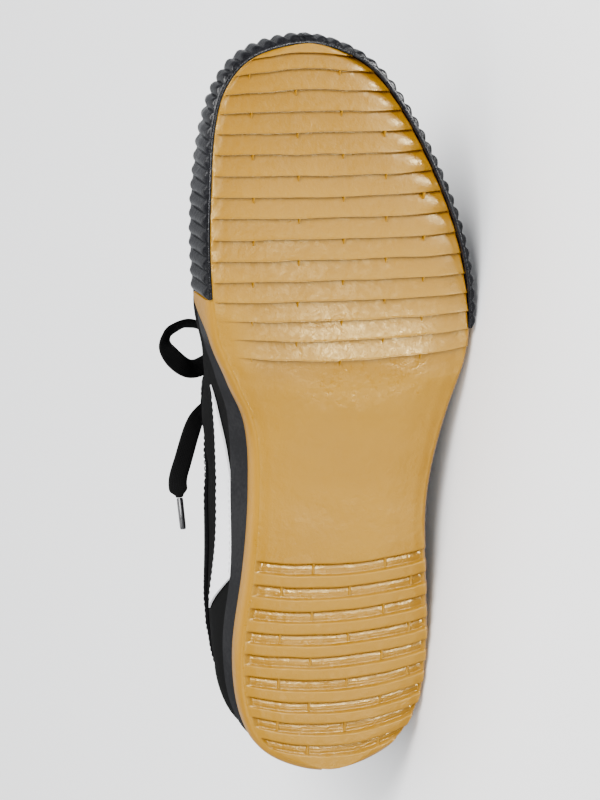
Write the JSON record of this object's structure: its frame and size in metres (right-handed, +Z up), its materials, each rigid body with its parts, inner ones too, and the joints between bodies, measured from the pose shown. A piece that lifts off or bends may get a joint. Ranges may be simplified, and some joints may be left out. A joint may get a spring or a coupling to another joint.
{
  "type": "low lace-up canvas shoe",
  "caption": "Low black canvas shoe for the left foot on a ribbed gum-rubber sole with a fluted toe guard, lying on its outer side with its lace tied.",
  "frame": {"origin": "middle of the footprint on the floor, with the shoe lying on its outer side", "axes": "+X runs from heel to toe, +Y from the sole's tread towards the instep, +Z up through the inner side"},
  "size_m": [0.2822, 0.1102, 0.1146],
  "materials": {
    "gum_rubber": "satin moulded gum rubber",
    "grey_rubber": "matt ribbed rubber",
    "black_rubber": "satin black rubber",
    "canvas": "plain-weave cotton canvas",
    "canvas_trim": "doubled cotton canvas",
    "binding_tape": "woven cotton tape",
    "side_tape": "woven cotton tape",
    "sock_lining": "plain cotton lining over foam",
    "eyelet": "black enamel",
    "lace": "flat woven lace",
    "lace_tip": "wrapped plastic"
  },
  "bodies": {
    "root": {"outsole": "gum_rubber", "foxing": "grey_rubber", "toe_guard": "black_rubber", "upper": "canvas", "insole": "sock_lining", "tongue": "canvas", "eyestay_inner": "canvas_trim", "eyestay_outer": "canvas_trim", "side_band_inner": "side_tape", "side_band_outer": "side_tape", "heel_strip": "canvas_trim", "collar_binding": "binding_tape", "eyelet_inner_1": "eyelet", "eyelet_inner_2": "eyelet", "eyelet_inner_3": "eyelet", "eyelet_inner_4": "eyelet", "eyelet_inner_5": "eyelet", "eyelet_inner_6": "eyelet", "eyelet_outer_1": "eyelet", "eyelet_outer_2": "eyelet", "eyelet_outer_3": "eyelet", "eyelet_outer_4": "eyelet", "eyelet_outer_5": "eyelet", "eyelet_outer_6": "eyelet", "lace_bar_1": "lace", "lace_bar_2": "lace", "lace_bar_3": "lace", "lace_bar_4": "lace", "lace_bar_5": "lace", "lace_bar_6": "lace", "lace_knot": "lace", "lace_loop_inner": "lace", "lace_loop_outer": "lace", "lace_end_inner": "lace", "lace_end_outer": "lace", "lace_tip_inner": "lace_tip", "lace_tip_outer": "lace_tip"}
  },
  "joints": []
}
